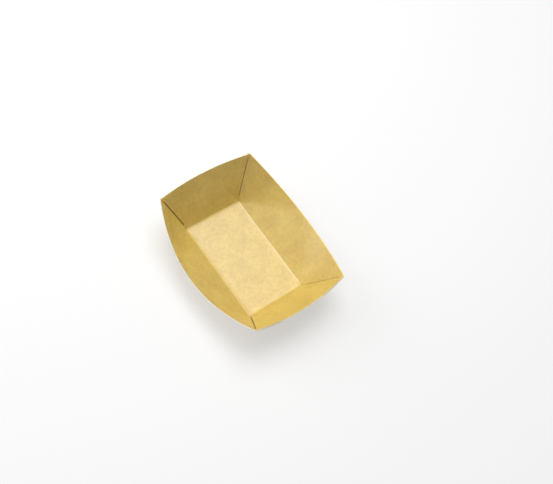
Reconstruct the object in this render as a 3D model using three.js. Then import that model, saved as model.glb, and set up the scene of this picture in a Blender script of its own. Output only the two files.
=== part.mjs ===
// A small open food tray folded from one sheet of kraft paper board.
// Millimetres, +Z up. The tray rests on z = 0 and its long sides run along X.
//
// The sheet never stretches: each wall leaves its straight floor fold as a flat triangle
// and turns up towards the rim corners as a cone whose point is the floor's corner.
// At every corner the long wall folds round the cut edge of the end wall, and the flap it
// carries is glued to the outside of that end wall.
import * as THREE from "three";

// Floor, measured between its score folds.
const FLOOR_LENGTH = 80;
const FLOOR_WIDTH = 47.4;

// Thickness of the board.
const BOARD = 0.55;

// How far a rim corner stands out past the floor's corner, and its height over the floor.
const CORNER_REACH_X = 17.7;
const CORNER_REACH_Y = 16.1;
const CORNER_HEIGHT = 31.6;

// Middle of a long side's rim, out past the floor's edge and over the floor.
const LONG_RIM_REACH = 27.7;
const LONG_RIM_HEIGHT = 18.4;

// Middle of an end's rim, out past the floor's edge and over the floor.
const END_RIM_REACH = 22.2;
const END_RIM_HEIGHT = 29.4;

// Score folds round the floor: half the width of the bend, the bead raised on the inside
// and the line pressed in from the outside.
const FOLD_REACH = 0.9;
const BEAD_HEIGHT = 0.16;
const SCORE_DEPTH = 0.1;

// Glue flaps: the part of an end's rim each one covers, how far its top edge has dropped
// below the rim at the free end, and how far its heel is cut back from the floor's fold.
const FLAP_SHARE = 0.275;
const FLAP_DROP = 0.6;
const HEEL_CUT = 1.4;

// Seam inside each corner, between the long wall and the cut edge of the end wall.
const SEAM_WIDTH = 0.4;
const SEAM_DEPTH = 0.45;
const SEAM_START = 1.5;
const SEAM_FADE = 4;

// How finely the curves are stepped.
const BEND_STEPS = 4;
const CLIMB_STEPS = 6;
const CLIMB_EVENNESS = 1.4;
const LONG_STEPS = 9;
const FLAP_STEPS = 4;
const END_STEPS = 4;
const CORNER_STEPS = 4;

const BOARD_COLOUR = 0xd9bd7e;
const BOARD_ROUGHNESS = 0.85;

const WELD_PER_MM = 10000;

const DOWN = new THREE.Vector3(0, 0, -1);

// One corner of the tray is worked out, and mirrored to the other three.
const floorCorner = new THREE.Vector3(FLOOR_LENGTH / 2, FLOOR_WIDTH / 2, 0);
const rimCorner = new THREE.Vector3(CORNER_REACH_X, CORNER_REACH_Y, CORNER_HEIGHT).add(floorCorner);

// Half of a wall's rim, from its middle to the corner: a parabola in plan and in height,
// which leaves the middle square to the tray's middle plane.
function halfRim(middle, along) {
  const across = rimCorner.clone().sub(middle).dot(along);
  const control = middle.clone().addScaledVector(along, across / 2);
  return new THREE.QuadraticBezierCurve3(middle, control, rimCorner);
}

// A wall is known by the direction of its floor edge, its rim and the side that its outward
// face turns to.
const alongX = new THREE.Vector3(1, 0, 0);
const alongY = new THREE.Vector3(0, 1, 0);
const longRimMiddle = new THREE.Vector3(0, floorCorner.y + LONG_RIM_REACH, LONG_RIM_HEIGHT);
const endRimMiddle = new THREE.Vector3(floorCorner.x + END_RIM_REACH, 0, END_RIM_HEIGHT);
const longWall = { along: alongX, rim: halfRim(longRimMiddle, alongX), turn: 1 };
const endWall = { along: alongY, rim: halfRim(endRimMiddle, alongY), turn: -1 };

// The bend takes the same part of every spoke, so both walls meet along the corner.
const bendShare = FOLD_REACH / Math.hypot(LONG_RIM_REACH, LONG_RIM_HEIGHT);

// The flat floor inside the bends.
const flatCorner = new THREE.Vector3(
  floorCorner.x - bendShare * Math.hypot(END_RIM_REACH, END_RIM_HEIGHT),
  floorCorner.y - FOLD_REACH,
  0,
);

// The wall's outward direction along its spoke from the floor's corner to a place on the
// rim, between the middle (0) and the corner (1).
function outward(wall, place) {
  const spoke = wall.rim.getPoint(place).sub(floorCorner);
  return spoke.cross(wall.rim.getTangent(place)).multiplyScalar(wall.turn).normalize();
}

const longOut = outward(longWall, 1);
const endOut = outward(endWall, 1);
const cornerSpoke = rimCorner.clone().sub(floorCorner);
const cornerLength = cornerSpoke.length();

// Directions square to the corner's fold: on along the long wall, and back into the end wall.
const longOnward = cornerSpoke.clone().cross(longOut).multiplyScalar(-1).normalize();
const endInward = cornerSpoke.clone().cross(endOut).multiplyScalar(-1).normalize();

// A smooth step from 0 to 1 between two distances.
function ease(distance, start, end) {
  return THREE.MathUtils.smoothstep(distance, start, end);
}

// A point on the inside face, on the line from the flat floor over the fold to the rim.
function facePoint(line, row) {
  if (row.bend < 1) {
    const wallFoot = line.fold.clone().lerp(line.rim, bendShare);
    const before = line.flat.clone().lerp(line.fold, row.bend);
    const after = line.fold.clone().lerp(wallFoot, row.bend);
    return before.lerp(after, row.bend);
  }
  return line.fold.clone().lerp(line.rim, row.climb);
}

// The outward direction turns from straight down under the floor to that of the wall.
function outwardAt(direction, row) {
  return DOWN.clone().lerp(direction, row.bend).normalize();
}

// The bead and the pressed line swell to the middle of the bend and end at its two edges.
function foldSwell(row) {
  return row.bend < 1 ? Math.sin(Math.PI * row.bend) ** 2 : 0;
}

// A line up the wall through its place on the rim. The flat middle part has its own line.
function wallLine(wall, place) {
  return {
    flat: flatCorner,
    fold: floorCorner,
    rim: wall.rim.getPoint(place),
    outward: outward(wall, place),
    swell: 1 - place,
  };
}

function middleLine(wall) {
  const across = (point) => point.clone().projectOnPlane(wall.along);
  return {
    flat: across(flatCorner),
    fold: across(floorCorner),
    rim: wall.rim.getPoint(0),
    outward: outward(wall, 0),
    swell: 1,
  };
}

// The sheet at one line and row: its point on the inside and its point on the outside.
function sheetAt(line, row) {
  const face = facePoint(line, row);
  const out = outwardAt(line.outward, row);
  const swell = foldSwell(row) * line.swell;
  return {
    inside: face.clone().addScaledVector(out, -BEAD_HEIGHT * swell),
    outside: face.clone().addScaledVector(out, BOARD - SCORE_DEPTH * swell),
  };
}

// The flap's top edge drops evenly from the rim corner to its free end.
function flapTop(place) {
  const drop = FLAP_DROP * (1 - place) / (2 * FLAP_SHARE);
  return 1 - drop / endWall.rim.getPoint(place).distanceTo(floorCorner);
}

// The end wall, with the flap's thickness over it where the flap covers it.
function endAt(place, row, covered) {
  const line = wallLine(endWall, place);
  const climb = row.atFlapTop ? flapTop(place) : row.climb;
  const sheet = sheetAt(line, { bend: row.bend, climb });
  if (covered) {
    sheet.outside.addScaledVector(line.outward, BOARD);
  }
  return sheet;
}

// The seam's cut, in the four points from the long wall to the edge of the end wall.
function seamPoint(step, face, distance) {
  const opening = ease(distance, SEAM_START, SEAM_START + SEAM_FADE)
    * ease(cornerLength - distance, 0, SEAM_FADE);
  const depth = SEAM_DEPTH * opening;
  const point = face.clone();
  if (step === 1 || step === 2) {
    point.addScaledVector(longOnward, depth / longOnward.dot(endOut));
  }
  if (step > 1) {
    point.addScaledVector(endInward, SEAM_WIDTH * opening);
  }
  return point;
}

// The corner fold: the sheet's outside turns round the cut edge of the end wall.
function cornerAt(step, row) {
  const line = { flat: flatCorner, fold: floorCorner, rim: rimCorner };
  const face = facePoint(line, row);
  const fromLong = outwardAt(longOut, row);
  const fromEnd = outwardAt(endOut, row);
  const distance = row.bend < 1 ? 0 : row.climb * cornerLength;
  const shared = fromLong.dot(fromEnd);
  const pivot = face.clone();
  if (row.pastHeel) {
    const push = BOARD / (1 - shared * shared);
    pivot.addScaledVector(fromEnd, push).addScaledVector(fromLong, -push * shared);
  }
  const way = fromLong.lerp(fromEnd, step / CORNER_STEPS).normalize();
  return {
    inside: seamPoint(step, face, distance),
    outside: pivot.addScaledVector(way, BOARD),
  };
}

// The rows of points from the flat floor to the rim. Two rows lie together at the flap's
// heel and two at its top edge, one on each side of the step in thickness.
function sheetRows() {
  const heel = bendShare + HEEL_CUT / cornerLength;
  const rows = [];
  for (let step = 0; step < BEND_STEPS; step += 1) {
    rows.push({ bend: step / BEND_STEPS, climb: 0 });
  }
  rows.push({ bend: 1, climb: bendShare });
  rows.push({ bend: 1, climb: heel });
  for (let step = 0; step < CLIMB_STEPS; step += 1) {
    const climb = heel + (1 - heel) * (step / CLIMB_STEPS) ** CLIMB_EVENNESS;
    rows.push({ bend: 1, climb, pastHeel: true, flapLies: true });
  }
  rows.push({ bend: 1, climb: 1, pastHeel: true, flapLies: true, atFlapTop: true });
  rows.push({ bend: 1, climb: 1, pastHeel: true, flapLies: false, atFlapTop: true });
  rows.push({ bend: 1, climb: 1, pastHeel: true, flapLies: false });
  return rows;
}

// One row of the sheet from the middle of a long side, round the corner, to the middle of an end.
function rowPoints(row) {
  const flatRow = { bend: row.bend, climb: row.climb };
  const freeEnd = 1 - 2 * FLAP_SHARE;
  const points = [sheetAt(middleLine(longWall), flatRow)];
  for (let step = 0; step < LONG_STEPS; step += 1) {
    points.push(sheetAt(wallLine(longWall, step / LONG_STEPS), flatRow));
  }
  for (let step = 0; step <= CORNER_STEPS; step += 1) {
    points.push(cornerAt(step, row));
  }
  for (let step = 1; step <= FLAP_STEPS; step += 1) {
    points.push(endAt(1 - (1 - freeEnd) * (step / FLAP_STEPS), row, row.flapLies));
  }
  for (let step = 0; step <= END_STEPS; step += 1) {
    points.push(endAt(freeEnd * (1 - step / END_STEPS), row, false));
  }
  points.push(sheetAt(middleLine(endWall), flatRow));
  return points;
}

// Two triangles over four points.
function pushQuad(triangles, first, second, third, fourth) {
  triangles.push([first, second, third], [first, third, fourth]);
}

// One corner's quarter of the closed sheet: both faces, the floor and the cut edge of the rim.
function quarterTriangles() {
  const rows = sheetRows().map(rowPoints);
  const triangles = [];
  const topRow = rows[rows.length - 1];
  const centre = new THREE.Vector3(0, 0, 0);
  const centreBelow = new THREE.Vector3(0, 0, -BOARD);
  for (let place = 0; place + 1 < topRow.length; place += 1) {
    const next = place + 1;
    for (let level = 0; level + 1 < rows.length; level += 1) {
      const [low, high] = [rows[level], rows[level + 1]];
      pushQuad(triangles, low[place].inside, low[next].inside, high[next].inside, high[place].inside);
      pushQuad(triangles, low[next].outside, low[place].outside, high[place].outside, high[next].outside);
    }
    triangles.push([centre, rows[0][next].inside, rows[0][place].inside]);
    triangles.push([centreBelow, rows[0][place].outside, rows[0][next].outside]);
    pushQuad(triangles, topRow[place].inside, topRow[next].inside, topRow[next].outside, topRow[place].outside);
  }
  return triangles;
}

// The quarter copied across both middle planes, turned over where it is seen in a mirror.
function allTriangles() {
  const quarter = quarterTriangles();
  const triangles = [];
  for (const mirror of [[1, 1], [-1, 1], [-1, -1], [1, -1]]) {
    const scale = new THREE.Vector3(mirror[0], mirror[1], 1);
    for (const corners of quarter) {
      const copy = corners.map((point) => point.clone().multiply(scale));
      triangles.push(mirror[0] * mirror[1] > 0 ? copy : copy.reverse());
    }
  }
  return triangles;
}

// Shared points are written once, and triangles that have closed up to a line are left out.
function weldedGeometry(triangles) {
  const numbers = new Map();
  const positions = [];
  const index = [];
  const numberOf = (point) => {
    const key = point.toArray().map((value) => Math.round(value * WELD_PER_MM)).join(" ");
    if (!numbers.has(key)) {
      numbers.set(key, numbers.size);
      positions.push(point.x, point.y, point.z + BOARD);
    }
    return numbers.get(key);
  };
  for (const corners of triangles) {
    const [a, b, c] = corners.map(numberOf);
    if (a !== b && b !== c && c !== a) {
      index.push(a, b, c);
    }
  }
  const geometry = new THREE.BufferGeometry();
  geometry.setAttribute("position", new THREE.Float32BufferAttribute(positions, 3));
  geometry.setIndex(index);
  geometry.computeVertexNormals();
  return geometry;
}

function buildTray() {
  const material = new THREE.MeshStandardMaterial({
    color: BOARD_COLOUR,
    roughness: BOARD_ROUGHNESS,
    metalness: 0,
  });
  const tray = new THREE.Mesh(weldedGeometry(allTriangles()), material);
  tray.name = "tray";
  return tray;
}

const group = new THREE.Group();
group.name = "paper_food_tray";
group.add(buildTray());

export default group;
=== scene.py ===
import math
from functools import partial, reduce

import bmesh
import bpy
from bpy.props import FloatProperty, FloatVectorProperty, PointerProperty
from mathutils import Matrix, Vector


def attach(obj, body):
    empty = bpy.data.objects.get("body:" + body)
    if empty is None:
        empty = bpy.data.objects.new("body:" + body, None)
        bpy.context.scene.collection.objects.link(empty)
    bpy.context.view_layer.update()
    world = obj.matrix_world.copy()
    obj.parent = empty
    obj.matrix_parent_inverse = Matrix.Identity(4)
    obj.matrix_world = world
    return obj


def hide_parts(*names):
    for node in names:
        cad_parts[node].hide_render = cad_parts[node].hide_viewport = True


bl_info = {
    "name": "Folded Paper Food Tray",
    "version": (1, 0, 0),
    "blender": (4, 5, 0),
    "location": "View3D > Sidebar > Food Tray",
    "description": "Folds a small kraft board food tray from one sheet and sets its studio",
    "category": "Object",
}

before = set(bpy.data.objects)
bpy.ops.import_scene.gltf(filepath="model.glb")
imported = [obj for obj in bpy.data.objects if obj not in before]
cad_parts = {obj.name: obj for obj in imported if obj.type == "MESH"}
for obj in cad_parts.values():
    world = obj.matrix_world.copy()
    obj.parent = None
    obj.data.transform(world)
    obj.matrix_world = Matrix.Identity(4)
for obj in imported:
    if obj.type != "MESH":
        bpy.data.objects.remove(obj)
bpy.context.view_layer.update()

MM = 0.001
WELD = 0.002 * MM
SHARP_ANGLE = math.radians(35)

# Marks on the sheet's points, from 0 to 1, which the materials read: pale folds and rim (partly
# wear, partly painted highlight) and painted shade in seams and creases.
SURFACE_MARKS = ("worn_fold", "glue_shadow", "seam_edge")
# The pale marks at the score folds and the rim are partly wear of the board and partly painted
# highlight.
SCORE_WEAR_AND_HIGHLIGHT = 0.65
RIM_WEAR_AND_HIGHLIGHT = 1
CRUSH_AND_HIGHLIGHT_START = 0.52  # Wear past which the board turns to the cut edge's colour.
# Seams get painted shade up to this part of the wall's rows.
SEAM_TOP = 0.97  # Part of the wall's rows up to which a seam is dark.
SEAM_TOP_SHARPNESS = 6

# The directions that the three sets of fibres are drawn out along.
FIBRE_TURNS = ((0.3, 0.2, 0.5), (1.1, 0.6, 2.1), (0.5, 1.4, 1.2))
FIBRE_RELIEF = 0.5

# The part of each noise that is used: from where it starts to show to where it shows most.
CLOUD_RANGE = (0.3, 0.7)
MOTTLE_RANGE = (0.35, 0.68)
PALE_FIBRE_RANGE = (0.58, 0.80)
DARK_FIBRE_RANGE = (0.40, 0.22)
SPECKLE_RANGE = (0.35, 0.7)

# Each noise's detail and roughness.
CLOUD_DETAIL = (2, 0.5)
FINE_DETAIL = (4, 0.65)
FIBRE_DETAIL = (2, 0.6)
SPECKLE_DETAIL = (3, 0.6)

STUDIO_HALF_WIDTH = 6
FLOOR_ROUGHNESS = 0.9
FLOOR_GAP = 0.05 * MM  # Keeps the studio floor clear of the tray's underside.
FILM_WIDTH = 36  # Millimetres, as the lens is.


def length_setting(name, description, default):
    return FloatProperty(name=name, description=description, default=default, unit="LENGTH")


def place_setting(name, description, *defaults):
    return FloatVectorProperty(
        name=name, description=description, size=len(defaults), default=defaults, unit="LENGTH"
    )


def share_setting(name, description, default, least=0, most=1):
    return FloatProperty(
        name=name, description=description, default=default, subtype="FACTOR", min=least, max=most
    )


def amount_setting(name, description, default, **settings):
    return FloatProperty(name=name, description=description, default=default, min=0, **settings)


def angle_setting(name, description, degrees):
    return FloatProperty(
        name=name, description=description, default=math.radians(degrees), subtype="ANGLE"
    )


def colour_setting(name, description, *rgb):
    return FloatVectorProperty(
        name=name,
        description=description,
        subtype="COLOR",
        size=4,
        min=0,
        max=1,
        default=(*rgb, 1),
    )


class TraySizes(bpy.types.PropertyGroup):
    """Sizes of the folded sheet"""

    floor_length: length_setting(
        "Floor Length", "Length of the floor between its score folds", 80 * MM
    )
    floor_width: length_setting(
        "Floor Width", "Width of the floor between its score folds", 47.4 * MM
    )
    board: length_setting("Board", "Thickness of the kraft board", 0.55 * MM)
    corner_reach: place_setting(
        "Corner Reach",
        "How far a rim corner stands out past the floor's corner, and its height",
        17.7 * MM,
        16.1 * MM,
        31.6 * MM,
    )
    long_rim: place_setting(
        "Long Rim", "Reach and height of the middle of a long side's rim", 27.7 * MM, 18.4 * MM
    )
    end_rim: place_setting(
        "End Rim", "Reach and height of the middle of an end's rim", 22.2 * MM, 29.4 * MM
    )
    fold_reach: length_setting(
        "Fold Reach", "Half the width of the bend at the floor's score folds", 0.9 * MM
    )
    bead: length_setting(
        "Score Bead", "Height of the bead that the score raises inside a floor fold", 0.16 * MM
    )
    flap_share: share_setting(
        "Flap Share", "Part of an end's rim that each glue flap covers", 0.275, 0.05, 0.45
    )
    flap_drop: length_setting(
        "Flap Drop", "How far a flap's top edge has dropped at its free end", 0.6 * MM
    )
    heel_cut: length_setting(
        "Heel Cut", "How far a flap's heel is cut back from the floor's fold", 2.4 * MM
    )
    glue: length_setting(
        "Glue Line", "Thickness of the glue between a flap and the end wall", 0.02 * MM
    )
    seam: length_setting(
        "Seam", "Room left in a corner between the end wall's edge and the long wall", 0.05 * MM
    )
    seam_fade: length_setting(
        "Seam Fade", "Length over which the seam closes towards the rim", 4 * MM
    )
    # The crease line is painted shade.
    crease_line: length_setting(
        "Crease Line",
        "Width of the dark line from a seam's foot to the floor's corner",
        0.3 * MM,
    )
    # The rim band is painted pale: partly the die's crushed board, partly painted highlight on the
    # rim.
    edge_band: length_setting(
        "Edge Band", "Width of the pale, crushed band that the die leaves at the rim", 0.5 * MM
    )


class BoardColours(bpy.types.PropertyGroup):
    """Colours of the kraft board"""

    face: colour_setting("Face", "Main colour of the board's faces", 0.700, 0.500, 0.098)
    dark_fibre: colour_setting(
        "Dark Fibre", "Colour of the darker fibres and clouds", 0.460, 0.295, 0.038
    )
    # Also painted on the folds and the rim: partly wear, partly painted highlight.
    pale_fibre: colour_setting(
        "Pale Fibre", "Colour of the paler fibres and of worn folds", 0.830, 0.665, 0.250
    )
    # Colour of the painted shade in the corner seams, along the creases to the floor's corners and
    # on the seams' cut edges.
    glue_shadow: colour_setting(
        "Seam Painted Shade", "Colour of the painted shade deep in a corner's seam and its crease", 0.250, 0.148, 0.026
    )
    cut_edge: colour_setting("Cut Edge", "Colour of the board's cut edge", 0.970, 0.880, 0.640)


class BoardTexture(bpy.types.PropertyGroup):
    """Scale, strength and shine of the board's marks"""

    cloud_scale: amount_setting("Cloud Scale", "Soft clouds to a metre", 80)
    clouds: share_setting("Clouds", "How dark the soft clouds are", 0.42)
    mottle_scale: amount_setting("Mottle Scale", "Specks of the fine mottle to a metre", 380)
    mottle: share_setting("Mottle", "How dark the fine mottle is", 0.36)
    fibre_scale: amount_setting("Fibre Scale", "Widths of a fibre to a metre", 2600)
    fibre_slimness: share_setting("Fibre Slimness", "A fibre's width over its length", 0.16)
    pale_fibres: share_setting("Pale Fibres", "How clearly the paler fibres show", 0.6)
    dark_fibres: share_setting("Dark Fibres", "How clearly the darker fibres show", 0.7)
    # How far the folds and rim are painted pale: partly wear, partly painted highlight.
    wear_and_highlight_strength: share_setting("Wear", "How far worn folds turn pale", 0.8)
    grain_scale: amount_setting("Grain Scale", "Bumps of the fine grain to a metre", 1500)
    grain: share_setting("Grain", "Strength of the grain's relief", 0.22)
    grain_height: length_setting("Grain Height", "Height of the grain's relief", 0.06 * MM)
    shine: share_setting("Shine", "Specular level of the bare board", 0.25)
    smooth_roughness: share_setting("Smooth Roughness", "Roughness between the specks", 0.50)
    speck_roughness: share_setting("Speck Roughness", "Roughness on the specks", 0.62)
    coat_roughness: share_setting("Coat Roughness", "Roughness of the coating inside", 0.40)
    coat_ior: amount_setting("Coat IOR", "Refraction of the coating inside", 1.7)
    edge_speckle_scale: amount_setting("Edge Speckle Scale", "Fibre ends to a metre", 3200)
    edge_speckle: share_setting("Edge Speckle", "How clearly the fibre ends show", 0.5)
    edge_grain: share_setting("Edge Grain", "Strength of the cut edge's relief", 0.5)
    edge_grain_height: length_setting(
        "Edge Grain Height", "Height of the edge's relief", 0.05 * MM
    )
    edge_roughness: share_setting("Edge Roughness", "Roughness of the cut edge", 0.85)


class StageSettings(bpy.types.PropertyGroup):
    """Studio round the tray"""

    floor_colour: colour_setting("Floor", "Colour of the plain floor", 0.95, 0.95, 0.95)
    floor_glow: share_setting(
        "Floor White", "Part of the floor's look that is plain white", 0.5
    )
    sky: amount_setting("Room Light", "Strength of the even light from all round", 0.22)
    key: amount_setting(
        "Key Light", "Power of the large soft lamp over the tray", 7.6, unit="POWER"
    )
    key_place: place_setting("Key Place", "Where the large soft lamp stands", -0.31, 0.17, 0.93)
    fill: amount_setting(
        "Fill Light", "Power of the soft lamp beside the tray", 4.0, unit="POWER"
    )
    fill_place: place_setting(
        "Fill Place", "Where the lamp beside the tray stands", -0.7, -0.5, 0.5
    )
    lamp_size: length_setting("Lamp Size", "Width of each soft lamp", 0.73)
    camera_distance: length_setting(
        "Camera Distance", "From the camera to the point that it looks at", 0.7035
    )
    camera_azimuth: angle_setting(
        "Camera Azimuth", "Turn of the camera round the tray, from looking along +Y", 29.43
    )
    camera_elevation: angle_setting(
        "Camera Elevation", "Height of the camera over the horizon", 59.72
    )
    camera_roll: angle_setting(
        "Camera Roll", "Turn of the camera about its own line of sight", 27.0
    )
    camera_target: place_setting(
        "Camera Target", "Point that the camera looks at", 2.45 * MM, 29.23 * MM, 0.55 * MM
    )
    lens: amount_setting("Lens", "Focal length of the camera in millimetres", 61.1)


class Wall:
    """One wall of a quarter of the tray: its half rim and the way its outward face turns."""

    def __init__(self, along, rim_middle, rim_corner, floor_corner, turn):
        self.start = rim_middle
        self.end = rim_corner
        self.control = rim_middle + along * (rim_corner - rim_middle).dot(along) / 2
        self.floor_corner = floor_corner
        self.turn = turn

    def rim(self, place):
        """The rim's point, from its middle (0) to the corner (1)."""
        first = self.start.lerp(self.control, place)
        return first.lerp(self.control.lerp(self.end, place), place)

    def outward(self, place):
        """The outward direction along the spoke from the floor's corner to that place."""
        run = (self.control - self.start).lerp(self.end - self.control, place)
        spoke = self.rim(place) - self.floor_corner
        return (spoke.cross(run) * self.turn).normalized()


class Quarter:
    """Where the points of a quarter of the flat sheet lie once it is folded."""

    bend_rows = 8
    climb_rows = 14
    floor_columns = 12
    floor_rows = 8
    wall_columns = 20
    flap_columns = 8
    turn_columns = 7
    turn_starts = (0, 0.5, 1)  # The straight run from the long wall's inner edge to the turn.
    turn_tightness = 6  # The board's thickness over the turn's inner radius.

    def __init__(self, sizes):
        self.sizes = sizes
        self.corner = Vector((sizes.floor_length / 2, sizes.floor_width / 2, 0))
        tip = self.corner + Vector(sizes.corner_reach)
        long_middle = Vector((0, self.corner.y + sizes.long_rim[0], sizes.long_rim[1]))
        end_middle = Vector((self.corner.x + sizes.end_rim[0], 0, sizes.end_rim[1]))
        self.long_wall = Wall(Vector((1, 0, 0)), long_middle, tip, self.corner, 1)
        self.end_wall = Wall(Vector((0, 1, 0)), end_middle, tip, self.corner, -1)
        self.bend_share = sizes.fold_reach / math.hypot(*sizes.long_rim)
        self.flat = Vector(
            (
                self.corner.x - self.bend_share * math.hypot(*sizes.end_rim),
                self.corner.y - sizes.fold_reach,
                0,
            )
        )
        self.spoke = tip - self.corner
        self.heel = self.bend_share + sizes.heel_cut / self.spoke.length
        self.long_out = self.long_wall.outward(1)
        self.end_out = self.end_wall.outward(1)
        self.end_run = (tip - end_middle).length
        self.turn_radius = sizes.board / self.turn_tightness
        self.turn_centre = self.find_turn_centre()
        end_inward = -self.spoke.cross(self.end_out).normalized()
        crease = self.turn_centre + self.end_out * self.turn_radius
        self.crease_shift = crease.dot(end_inward)

    def climb(self, v):
        """The rows up a wall: to the flap's heel, evenly on, and a narrow one at the rim."""
        step = round(v * self.climb_rows)
        if step == 0:
            return self.bend_share
        if step == self.climb_rows:
            return 1
        last = 1 - self.sizes.edge_band / self.spoke.length
        return self.heel + (last - self.heel) * (step - 1) / (self.climb_rows - 2)

    def heel_climb(self, v):
        """The same rows for a panel that starts at the flap's heel."""
        return self.climb((v * (self.climb_rows - 1) + 1) / self.climb_rows)

    def bent(self, flat, fold, rim, bend, outward, swell):
        """A point on the bend from the floor to the wall, with the score's bead on it."""
        foot = fold.lerp(rim, self.bend_share)
        face = flat.lerp(fold, bend).lerp(fold.lerp(foot, bend), bend)
        way = Vector((0, 0, -1)).lerp(outward, bend).normalized()
        return face - way * self.sizes.bead * swell * math.sin(math.pi * bend) ** 2

    def floor(self, u, v):
        return Vector((self.flat.x * u, self.flat.y * v, 0))

    def long_bend(self, u, v):
        flat = Vector((self.flat.x * u, self.flat.y, 0))
        fold = Vector((self.corner.x * u, self.corner.y, 0))
        wall = self.long_wall
        return self.bent(flat, fold, wall.rim(0), v, wall.outward(0), 1)

    def long_middle(self, u, v):
        fold = Vector((self.corner.x * u, self.corner.y, 0))
        return fold.lerp(self.long_wall.rim(0), self.climb(v))

    def long_corner_bend(self, u, v):
        wall = self.long_wall
        rim, outward = wall.rim(1 - u), wall.outward(1 - u)
        return self.bent(self.flat, self.corner, rim, v, outward, u)

    def long_cone(self, u, v):
        return self.corner.lerp(self.long_wall.rim(1 - u), self.climb(v))

    def end_bend(self, u, v):
        flat = Vector((self.flat.x, self.flat.y * (1 - u), 0))
        fold = Vector((self.corner.x, self.corner.y * (1 - u), 0))
        wall = self.end_wall
        return self.bent(flat, fold, wall.rim(0), v, wall.outward(0), 1)

    def end_middle(self, u, v):
        fold = Vector((self.corner.x, self.corner.y * (1 - u), 0))
        return fold.lerp(self.end_wall.rim(0), self.climb(v))

    def end_corner_bend(self, u, v):
        wall = self.end_wall
        rim, outward = wall.rim(1 - u), wall.outward(1 - u)
        return self.bent(self.flat, self.corner, rim, v, outward, u)

    def end_cone(self, u, v):
        """The end wall, with its cut edge standing a little clear of the long wall."""
        climb = self.climb(v)
        first = self.seam_gap(climb * self.spoke.length) / (self.end_run * climb)
        return self.corner.lerp(self.end_wall.rim((1 - first) * (1 - u)), climb)

    def seam_gap(self, distance):
        """How far the cut edge keeps back to clear the long wall, less at the heel and the rim."""
        shared = self.long_out.dot(self.end_out)
        clear = self.sizes.board * shared / math.sqrt(1 - shared * shared)
        start = max(distance - self.heel * self.spoke.length, 0)
        left = (self.spoke.length - distance) / self.sizes.seam_fade
        fade = min(max(left, 0), 1)
        return min(clear + self.sizes.seam, start) * fade * fade * (3 - 2 * fade)

    def crease_shade(self, shape, darkness):
        """The painted shade line that goes on from a seam's foot to the floor's corner, beside u =
        0.
        """

        def shade(u, v):
            aside = (shape(u, v) - shape(0, v)).length
            return darkness(v) * max(0, 1 - aside / self.sizes.crease_line)

        return shade

    def find_turn_centre(self):
        """The middle of the corner fold, seen from the long wall's inner edge."""
        radius = self.turn_radius
        shared = self.long_out.dot(self.end_out)
        back = self.sizes.board + self.sizes.glue - radius
        towards_end = (back + radius * shared) / (1 - shared * shared)
        towards_long = -radius - towards_end * shared
        return self.long_out * towards_long + self.end_out * towards_end

    def corner_turn(self, u, v):
        """The long wall's sheet: straight on past the end wall's cut edge, then round it."""
        face = self.corner.lerp(self.long_wall.rim(1), self.heel_climb(v))
        step = round(u * self.turn_columns)
        straight = len(self.turn_starts) - 1
        part = max(step - straight, 0) / (self.turn_columns - straight)
        way = self.long_out.lerp(self.end_out, part).normalized()
        bend = self.turn_centre + way * self.turn_radius
        return face + bend * self.turn_starts[min(step, straight)]

    def flap(self, u, v):
        """The flap on the outside of the end wall, its top edge dropping to the free end."""
        if u == 0:
            return self.corner_turn(1, v)
        climb = self.heel_climb(v)
        first = self.crease_shift / (self.end_run * climb)
        place = 1 - first - (2 * self.sizes.flap_share - first) * u
        rim = self.end_wall.rim(place)
        top = 1 - self.sizes.flap_drop * u / (rim - self.corner).length
        part = (climb - self.heel) / (1 - self.heel)
        face = self.corner.lerp(rim, self.heel + (top - self.heel) * part)
        gap = self.sizes.board + self.sizes.glue
        return face + self.end_wall.outward(place) * gap


def lay_panel(mesh, columns, rows, shape, **marks):
    """Adds a square grid and lays each of its points where the folded sheet has it."""
    layers = {name: mesh.verts.layers.float[name] for name in SURFACE_MARKS}
    made = bmesh.ops.create_grid(mesh, x_segments=columns, y_segments=rows, size=0.5)
    for vert in made["verts"]:
        u = round((vert.co.x + 0.5) * columns) / columns
        v = round((vert.co.y + 0.5) * rows) / rows
        vert.co = shape(u, v)
        for name, layer in layers.items():
            vert[layer] = marks[name](u, v) if name in marks else 0


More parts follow.
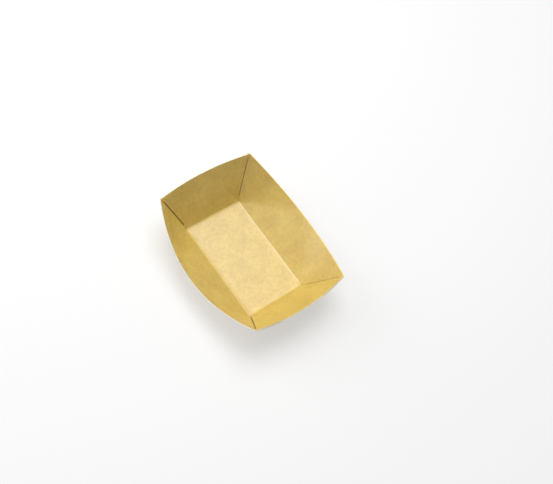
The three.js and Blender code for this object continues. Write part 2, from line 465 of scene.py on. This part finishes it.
def fold_sheet(sizes):
    """The whole sheet as one surface, the face that is seen inside the tray."""
    quarter = Quarter(sizes)
    mesh = bmesh.new()
    for name in SURFACE_MARKS:
        mesh.verts.layers.float.new(name)
    bends = quarter.bend_rows
    climbs = quarter.climb_rows
    columns = quarter.wall_columns

    # Pale marks at the score folds and the rim: partly wear, partly painted highlight.
    def on_bend(_, v):
        return SCORE_WEAR_AND_HIGHLIGHT * math.sin(math.pi * v) ** 2

    def on_rim(_, v):
        return RIM_WEAR_AND_HIGHLIGHT if v == 1 else 0

    def below_seam_top(v):
        return min(1, max(0, SEAM_TOP - v) * SEAM_TOP_SHARPNESS)

    # Painted shade on the turn deep in a corner's seam, fading out near the rim.
    def in_seam(u, v):
        return 0 if u == 0 else below_seam_top(v)

    # Painted shade on the end wall's cut edge inside the seam, up to the seam's top.
    def on_seam_edge(u, v):
        return below_seam_top(v) if u == 0 else 0

    def below_heel(v):
        return 1 if round(v * climbs) <= 1 else 0

    wide, deep = quarter.floor_columns, quarter.floor_rows
    lay_panel(mesh, wide, deep, quarter.floor)
    lay_panel(mesh, wide, bends, quarter.long_bend, worn_fold=on_bend)
    lay_panel(mesh, wide, climbs, quarter.long_middle, worn_fold=on_rim)
    # Painted shade lines in the creases from each seam's foot to the floor's corner.
    for shape in (quarter.long_corner_bend, quarter.end_corner_bend):
        shade = quarter.crease_shade(shape, lambda v: v)
        lay_panel(mesh, columns, bends, shape, worn_fold=on_bend, glue_shadow=shade)
    shade = quarter.crease_shade(quarter.long_cone, below_heel)
    lay_panel(mesh, columns, climbs, quarter.long_cone, worn_fold=on_rim, glue_shadow=shade)
    lay_panel(mesh, deep, bends, quarter.end_bend, worn_fold=on_bend)
    lay_panel(mesh, deep, climbs, quarter.end_middle, worn_fold=on_rim)
    shade = quarter.crease_shade(quarter.end_cone, below_heel)
    end_marks = {"worn_fold": on_rim, "seam_edge": on_seam_edge, "glue_shadow": shade}
    lay_panel(mesh, columns, climbs, quarter.end_cone, **end_marks)
    turn_marks = {"worn_fold": on_rim, "glue_shadow": in_seam}
    lay_panel(mesh, quarter.turn_columns, climbs - 1, quarter.corner_turn, **turn_marks)
    lay_panel(mesh, quarter.flap_columns, climbs - 1, quarter.flap, worn_fold=on_rim)
    bmesh.ops.remove_doubles(mesh, verts=mesh.verts, dist=WELD)
    bmesh.ops.dissolve_degenerate(mesh, edges=mesh.edges, dist=WELD)
    for axis in ("X", "Y"):
        bmesh.ops.mirror(mesh, geom=mesh.faces[:], matrix=Matrix(), merge_dist=WELD, axis=axis)
    bmesh.ops.remove_doubles(mesh, verts=mesh.verts, dist=WELD)
    bmesh.ops.recalc_face_normals(mesh, faces=mesh.faces)
    floor_face = min(mesh.faces, key=lambda face: face.calc_center_median().length)
    if floor_face.normal.z < 0:
        bmesh.ops.reverse_faces(mesh, faces=mesh.faces)
    bmesh.ops.translate(mesh, verts=mesh.verts, vec=(0, 0, sizes.board))
    return mesh


def make_object(name, mesh):
    data = bpy.data.meshes.new(name)
    mesh.to_mesh(data)
    mesh.free()
    made = bpy.data.objects.new(name, data)
    bpy.context.scene.collection.objects.link(made)
    return made


def apply_modifiers(made):
    bpy.context.view_layer.objects.active = made
    for other in bpy.context.selected_objects:
        other.select_set(False)
    made.select_set(True)
    for modifier in made.modifiers[:]:
        bpy.ops.object.modifier_apply(modifier=modifier.name)
    made.select_set(False)


def give_board_thickness(made, board):
    """Turns the surface to board: its thickness lies outside, and its rim is a cut edge."""
    solid = made.modifiers.new("Board thickness", "SOLIDIFY")
    solid.thickness = board
    solid.offset = -1
    solid.use_quality_normals = True
    solid.material_offset = 1
    solid.material_offset_rim = 2
    apply_modifiers(made)
    made.data.polygons.foreach_set("use_smooth", [True] * len(made.data.polygons))
    made.data.set_sharp_from_angle(angle=SHARP_ANGLE)


class Nodes:
    """A short way to add nodes to a material or a world and join them."""

    def __init__(self, owner):
        owner.use_nodes = True
        self.owner = owner
        self.tree = owner.node_tree

    @property
    def shader(self):
        return self.tree.nodes["Principled BSDF"]

    def add(self, kind, **settings):
        node = self.tree.nodes.new(kind)
        for key, value in settings.items():
            setattr(node, key, value)
        return node

    def join(self, source, target):
        self.tree.links.new(source, target)

    def noise(self, coordinates, scale, detail, roughness):
        node = self.add("ShaderNodeTexNoise")
        node.inputs["Scale"].default_value = scale
        node.inputs["Detail"].default_value = detail
        node.inputs["Roughness"].default_value = roughness
        self.join(coordinates, node.inputs["Vector"])
        return node.outputs["Fac"]

    def turned(self, coordinates, angles, scale):
        node = self.add("ShaderNodeMapping")
        node.inputs["Rotation"].default_value = angles
        node.inputs["Scale"].default_value = scale
        self.join(coordinates, node.inputs["Vector"])
        return node.outputs["Vector"]

    def ranged(self, value, low, high, new_low=0, new_high=1):
        node = self.add("ShaderNodeMapRange")
        node.inputs["From Min"].default_value = low
        node.inputs["From Max"].default_value = high
        node.inputs["To Min"].default_value = new_low
        node.inputs["To Max"].default_value = new_high
        self.join(value, node.inputs["Value"])
        return node.outputs["Result"]

    def mixed(self, factor, first, second):
        node = self.add("ShaderNodeMix", data_type="RGBA")
        self.join(factor, node.inputs["Factor"])
        for value, socket in ((first, node.inputs["A"]), (second, node.inputs["B"])):
            if isinstance(value, bpy.types.NodeSocket):
                self.join(value, socket)
            else:
                socket.default_value = value
        return node.outputs["Result"]

    def mark(self, name):
        return self.add("ShaderNodeAttribute", attribute_name=name).outputs["Fac"]

    def bump(self, height, strength, distance):
        node = self.add("ShaderNodeBump")
        node.inputs["Strength"].default_value = strength
        node.inputs["Distance"].default_value = distance
        self.join(height, node.inputs["Height"])
        self.join(node.outputs["Normal"], self.shader.inputs["Normal"])

    def maths(self, operation, first, second):
        node = self.add("ShaderNodeMath", operation=operation)
        for value, socket in ((first, node.inputs[0]), (second, node.inputs[1])):
            if isinstance(value, bpy.types.NodeSocket):
                self.join(value, socket)
            else:
                socket.default_value = value
        return node.outputs["Value"]

    def combined(self, operation, values):
        """The operation on the first two values, then on what it gives and the next."""
        return reduce(partial(self.maths, operation), values)

    def seen_rays(self):
        """1 for the rays by which a surface is seen, straight or in a shiny one, else 0."""
        rays = self.add("ShaderNodeLightPath").outputs
        kinds = ("Is Camera Ray", "Is Glossy Ray", "Is Transmission Ray")
        return self.combined("MAXIMUM", [rays[kind] for kind in kinds])


def fibre_noises(nodes, place, texture):
    """The highest and the lowest of three noises, each drawn out along its own direction."""
    fibres = []
    for angles in FIBRE_TURNS:
        drawn_out = nodes.turned(place, angles, (1, texture.fibre_slimness, 1))
        fibres.append(nodes.noise(drawn_out, texture.fibre_scale, *FIBRE_DETAIL))
    return nodes.combined("MAXIMUM", fibres), nodes.combined("MINIMUM", fibres)


def kraft_face(colours, texture, name, coated):
    """Kraft board: soft clouds, a fine mottle and short pale and dark fibres, pale folds and rim
    that are partly wear and partly painted highlight, and painted shade in the seams and creases
    when coated.
    """
    nodes = Nodes(bpy.data.materials.new(name))
    place = nodes.add("ShaderNodeTexCoord").outputs["Object"]
    clouds = nodes.noise(place, texture.cloud_scale, *CLOUD_DETAIL)
    clouds = nodes.ranged(clouds, *CLOUD_RANGE, 0, texture.clouds)
    mottle = nodes.noise(place, texture.mottle_scale, *FINE_DETAIL)
    mottle = nodes.ranged(mottle, *MOTTLE_RANGE, 0, texture.mottle)
    dark = nodes.maths("ADD", clouds, mottle)
    shade = nodes.mixed(dark, colours.face[:], colours.dark_fibre[:])
    pale, low = fibre_noises(nodes, place, texture)
    pale_amount = nodes.ranged(pale, *PALE_FIBRE_RANGE, 0, texture.pale_fibres)
    shade = nodes.mixed(pale_amount, shade, colours.pale_fibre[:])
    dark_amount = nodes.ranged(low, *DARK_FIBRE_RANGE, 0, texture.dark_fibres)
    shade = nodes.mixed(dark_amount, shade, colours.dark_fibre[:])
    # Folds and rim painted paler, the rim band in the cut edge's colour: partly wear, partly
    # painted highlight.
    worn = nodes.mark("worn_fold")
    pale_wear_and_highlight = nodes.maths("MULTIPLY", worn, texture.wear_and_highlight_strength)
    shade = nodes.mixed(pale_wear_and_highlight, shade, colours.pale_fibre[:])
    crushed_and_highlit = nodes.ranged(worn, CRUSH_AND_HIGHLIGHT_START, RIM_WEAR_AND_HIGHLIGHT)
    shade = nodes.mixed(crushed_and_highlit, shade, colours.cut_edge[:])
    # Painted shade in the corner seams and creases, on the inside only.
    if coated:
        shade = nodes.mixed(nodes.mark("glue_shadow"), shade, colours.glue_shadow[:])
    nodes.join(shade, nodes.shader.inputs["Base Color"])
    roughness = texture.smooth_roughness, texture.speck_roughness
    roughness = nodes.ranged(mottle, 0, texture.mottle, *roughness)
    nodes.join(roughness, nodes.shader.inputs["Roughness"])
    nodes.shader.inputs["Specular IOR Level"].default_value = texture.shine
    nodes.shader.inputs["Coat Weight"].default_value = 1 if coated else 0
    nodes.shader.inputs["Coat Roughness"].default_value = texture.coat_roughness
    nodes.shader.inputs["Coat IOR"].default_value = texture.coat_ior
    fine = nodes.noise(place, texture.grain_scale, *FINE_DETAIL)
    height = nodes.maths("ADD", nodes.maths("MULTIPLY", pale, FIBRE_RELIEF), fine)
    nodes.bump(height, texture.grain, texture.grain_height)
    return nodes.owner


def kraft_cut_edge(colours, texture):
    """The board's cut edge: paler, rough, with the loose ends of fibres."""
    nodes = Nodes(bpy.data.materials.new("Kraft board cut edge"))
    place = nodes.add("ShaderNodeTexCoord").outputs["Object"]
    speckle = nodes.noise(place, texture.edge_speckle_scale, *SPECKLE_DETAIL)
    amount = nodes.ranged(speckle, *SPECKLE_RANGE, 0, texture.edge_speckle)
    shade = nodes.mixed(amount, colours.cut_edge[:], colours.pale_fibre[:])
    # Painted shade on the cut edge inside a corner's seam.
    shade = nodes.mixed(nodes.mark("seam_edge"), shade, colours.glue_shadow[:])
    nodes.join(shade, nodes.shader.inputs["Base Color"])
    nodes.shader.inputs["Roughness"].default_value = texture.edge_roughness
    nodes.bump(speckle, texture.edge_grain, texture.edge_grain_height)
    return nodes.owner


def floor_finish(colour, glow):
    """A matt floor that looks partly plain white, so that it is pale and keeps the shadow."""
    nodes = Nodes(bpy.data.materials.new("Studio floor"))
    nodes.shader.inputs["Base Color"].default_value = colour
    nodes.shader.inputs["Roughness"].default_value = FLOOR_ROUGHNESS
    white = nodes.add("ShaderNodeEmission")
    mixer = nodes.add("ShaderNodeMixShader")
    nodes.join(nodes.maths("MULTIPLY", nodes.seen_rays(), glow), mixer.inputs["Fac"])
    nodes.join(nodes.shader.outputs["BSDF"], mixer.inputs[1])
    nodes.join(white.outputs["Emission"], mixer.inputs[2])
    nodes.join(mixer.outputs["Shader"], nodes.tree.nodes["Material Output"].inputs["Surface"])
    return nodes.owner


def add_floor(colour, glow):
    mesh = bmesh.new()
    bmesh.ops.create_grid(mesh, x_segments=1, y_segments=1, size=STUDIO_HALF_WIDTH)
    bmesh.ops.translate(mesh, verts=mesh.verts, vec=(0, 0, -FLOOR_GAP))
    made = make_object("studio_floor", mesh)
    made.data.materials.append(floor_finish(colour, glow))


def add_room_light(strength):
    """An even room light, in front of a backdrop that looks plain white."""
    nodes = Nodes(bpy.data.worlds.new("Studio room"))
    background = nodes.tree.nodes["Background"]
    background.inputs["Color"].default_value = (1, 1, 1, 1)
    brightness = nodes.ranged(nodes.seen_rays(), 0, 1, strength, 1)
    nodes.join(brightness, background.inputs["Strength"])
    bpy.context.scene.world = nodes.owner


def add_soft_lamp(name, power, place, size):
    lamp = bpy.data.lights.new(name, "AREA")
    lamp.shape = "SQUARE"
    lamp.size = size
    lamp.energy = power
    made = bpy.data.objects.new(name, lamp)
    made.location = place
    made.rotation_euler = (-made.location).to_track_quat("-Z", "Y").to_euler()
    bpy.context.scene.collection.objects.link(made)


def add_camera(settings):
    camera = bpy.data.cameras.new("Camera")
    camera.lens = settings.lens
    camera.sensor_width = FILM_WIDTH
    made = bpy.data.objects.new("Camera", camera)
    azimuth, elevation = settings.camera_azimuth, settings.camera_elevation
    back = Vector((math.sin(azimuth), -math.cos(azimuth), math.tan(elevation))).normalized()
    aim = (-back).to_track_quat("-Z", "Y").to_matrix().to_4x4()
    roll = Matrix.Rotation(settings.camera_roll, 4, "Z")
    place = Vector(settings.camera_target) + back * settings.camera_distance
    made.matrix_world = Matrix.Translation(place) @ aim @ roll
    bpy.context.scene.collection.objects.link(made)
    bpy.context.scene.camera = made


class FOODTRAY_OT_fold_sheet(bpy.types.Operator):
    """Fold the tray from one sheet of kraft board, flaps and all"""

    bl_idname = "foodtray.fold_sheet"
    bl_label = "Fold Tray Sheet"

    def execute(self, context):
        sizes = context.scene.tray_sizes
        looks = context.scene.board_colours, context.scene.board_texture
        made = make_object("folded_sheet", fold_sheet(sizes))
        made.data.materials.append(kraft_face(*looks, "Kraft board inside, coated", True))
        made.data.materials.append(kraft_face(*looks, "Kraft board outside", False))
        made.data.materials.append(kraft_cut_edge(*looks))
        give_board_thickness(made, sizes.board)
        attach(made, "root")
        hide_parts("tray")
        return {"FINISHED"}


class FOODTRAY_OT_set_stage(bpy.types.Operator):
    """Lay the pale floor, place the soft lights and set the camera"""

    bl_idname = "foodtray.set_stage"
    bl_label = "Set Studio Stage"

    def execute(self, context):
        settings = context.scene.stage_settings
        add_floor(settings.floor_colour[:], settings.floor_glow)
        add_room_light(settings.sky)
        size = settings.lamp_size
        add_soft_lamp("Key softbox", settings.key, settings.key_place, size)
        add_soft_lamp("Fill softbox", settings.fill, settings.fill_place, size)
        add_camera(settings)
        context.scene.view_settings.view_transform = "Standard"
        return {"FINISHED"}


class FOODTRAY_PT_panel(bpy.types.Panel):
    """Food tray panel in the sidebar"""

    bl_idname = "FOODTRAY_PT_panel"
    bl_label = "Food Tray"
    bl_space_type = "VIEW_3D"
    bl_region_type = "UI"
    bl_category = "Food Tray"

    def draw(self, context):
        layout = self.layout
        layout.operator("foodtray.fold_sheet")
        layout.operator("foodtray.set_stage")
        for group in SETTINGS:
            settings = getattr(context.scene, group)
            for name in settings.__annotations__:
                layout.prop(settings, name)


SETTINGS = {
    "tray_sizes": TraySizes,
    "board_colours": BoardColours,
    "board_texture": BoardTexture,
    "stage_settings": StageSettings,
}
CLASSES = (
    *SETTINGS.values(),
    FOODTRAY_OT_fold_sheet,
    FOODTRAY_OT_set_stage,
    FOODTRAY_PT_panel,
)


def register():
    for made in CLASSES:
        bpy.utils.register_class(made)
    for name, group in SETTINGS.items():
        setattr(bpy.types.Scene, name, PointerProperty(type=group))


def unregister():
    for name in SETTINGS:
        delattr(bpy.types.Scene, name)
    for made in reversed(CLASSES):
        bpy.utils.unregister_class(made)


def main():
    register()
    bpy.ops.foodtray.fold_sheet()
    bpy.ops.foodtray.set_stage()


if __name__ == "__main__":
    main()
